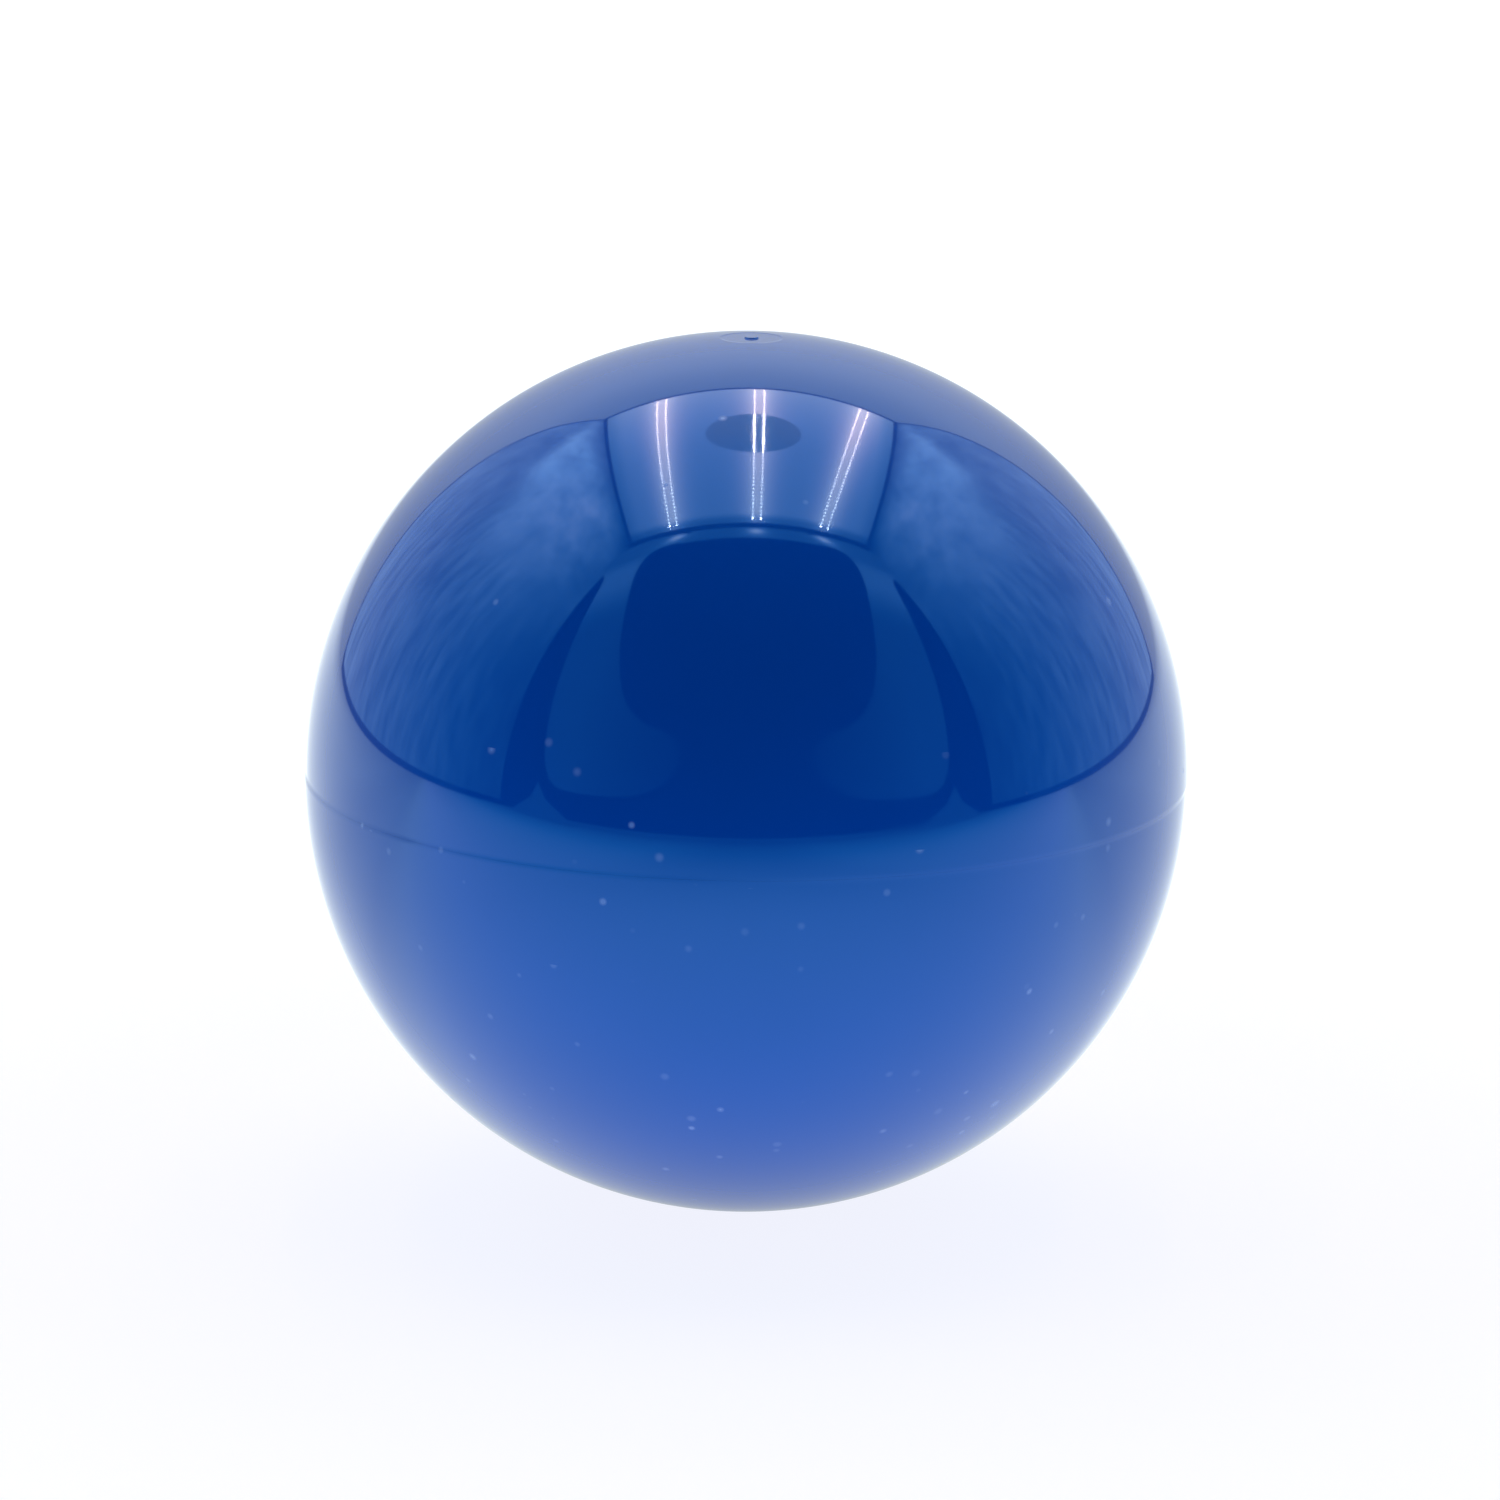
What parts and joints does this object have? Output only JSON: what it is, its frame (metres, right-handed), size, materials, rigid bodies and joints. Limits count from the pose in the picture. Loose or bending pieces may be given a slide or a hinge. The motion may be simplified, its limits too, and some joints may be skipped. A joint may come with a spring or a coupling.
{
  "type": "croquet ball",
  "caption": "Smooth glossy blue croquet ball: bonded half shells meet in an equator seam, with a recessed gate mark at each pole and a filled core.",
  "frame": {"origin": "centre of the ball", "axes": "+Z from the centre through the gate mark of the upper half shell, so the seam lies in the XY plane; +X and +Y are any two directions in that plane, with a rib inside each half shell lying along +X"},
  "size_m": [0.092, 0.092, 0.092],
  "materials": {
    "shell_plastic": "gloss",
    "core_compound": "matte",
    "bonding_adhesive": "satin"
  },
  "bodies": {
    "root": {"upper_half_shell": "shell_plastic", "lower_half_shell": "shell_plastic", "upper_core_fill": "core_compound", "lower_core_fill": "core_compound", "core_adhesive_film": "bonding_adhesive", "rim_adhesive_bead": "bonding_adhesive"}
  },
  "joints": []
}
